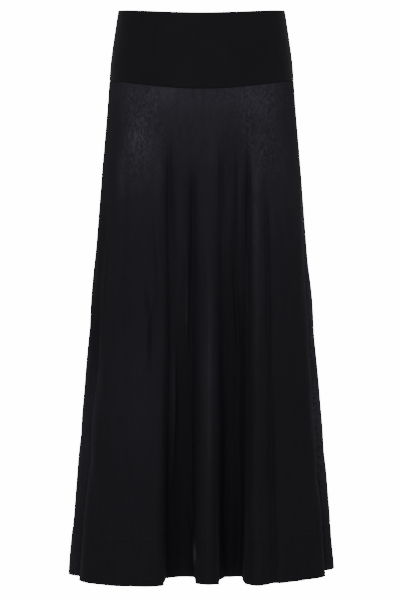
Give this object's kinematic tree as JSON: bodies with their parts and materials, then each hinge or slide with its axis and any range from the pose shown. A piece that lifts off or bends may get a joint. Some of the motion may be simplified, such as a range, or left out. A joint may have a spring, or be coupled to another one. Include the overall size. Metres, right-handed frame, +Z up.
{
  "type": "maxi skirt",
  "caption": "Long flared jersey skirt with a deep double waistband, hanging open as worn, with soft vertical folds down to a wide turned-up hem.",
  "frame": {"origin": "centre of the waist opening, level with the top edge at the side seams", "axes": "+Z up, -Y the skirt's front, +X the wearer's left side"},
  "size_m": [0.4775, 0.3691, 1.018],
  "materials": {
    "waistband_jersey": "smooth double black jersey, matte and opaque",
    "skirt_jersey": "fine slightly sheer black jersey with faint vertical streaks"
  },
  "bodies": {
    "root": {"waistband_front": "waistband_jersey", "waistband_back": "waistband_jersey", "skirt_front": "skirt_jersey", "skirt_back": "skirt_jersey"}
  },
  "joints": []
}
